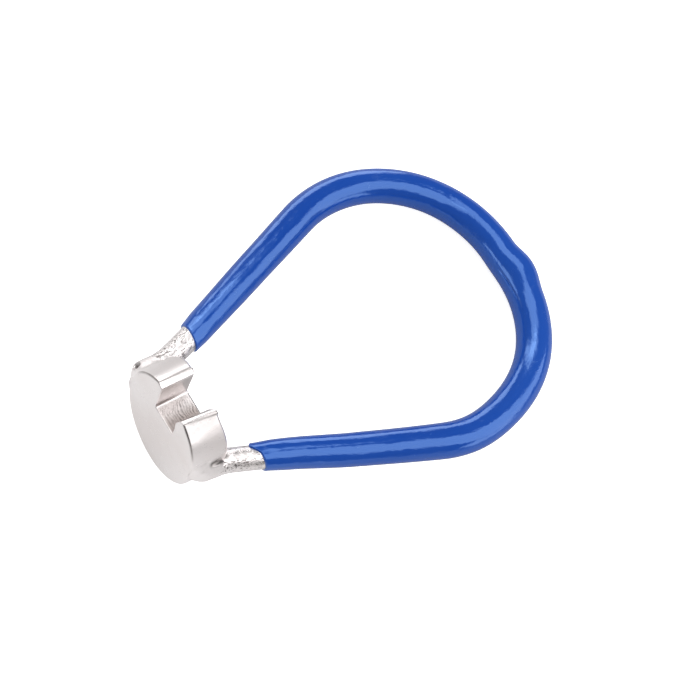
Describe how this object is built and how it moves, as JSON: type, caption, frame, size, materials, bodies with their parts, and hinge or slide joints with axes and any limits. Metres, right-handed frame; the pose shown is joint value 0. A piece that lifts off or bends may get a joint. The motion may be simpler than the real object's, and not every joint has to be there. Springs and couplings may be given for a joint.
{
  "type": "spoke wrench",
  "caption": "Bicycle spoke wrench: a slotted oval steel jaw welded between the ends of a bent rod loop that is dipped in glossy blue vinyl.",
  "frame": {"origin": "middle of the slot's floor, where the nipple's flat rests", "axes": "+X along the nipple and the handle, from the jaw to the loop's end; +Z out of the slot; +Y towards the slot's longer wall"},
  "size_m": [0.0607, 0.0442, 0.0184],
  "materials": {
    "jaw_nickel": "satin nickel plate over milled steel",
    "rod_nickel": "rough nickel plate over rod, speckled near the jaw",
    "weld_nickel": "nickel plate over weld metal",
    "blue_vinyl": "glossy dipped vinyl"
  },
  "bodies": {
    "root": {"jaw_head": "jaw_nickel", "handle_rod": "rod_nickel", "vinyl_grip": "blue_vinyl", "weld_bead_left_top": "weld_nickel", "weld_bead_left_bottom": "weld_nickel", "weld_bead_right_top": "weld_nickel", "weld_bead_right_bottom": "weld_nickel"}
  },
  "joints": []
}
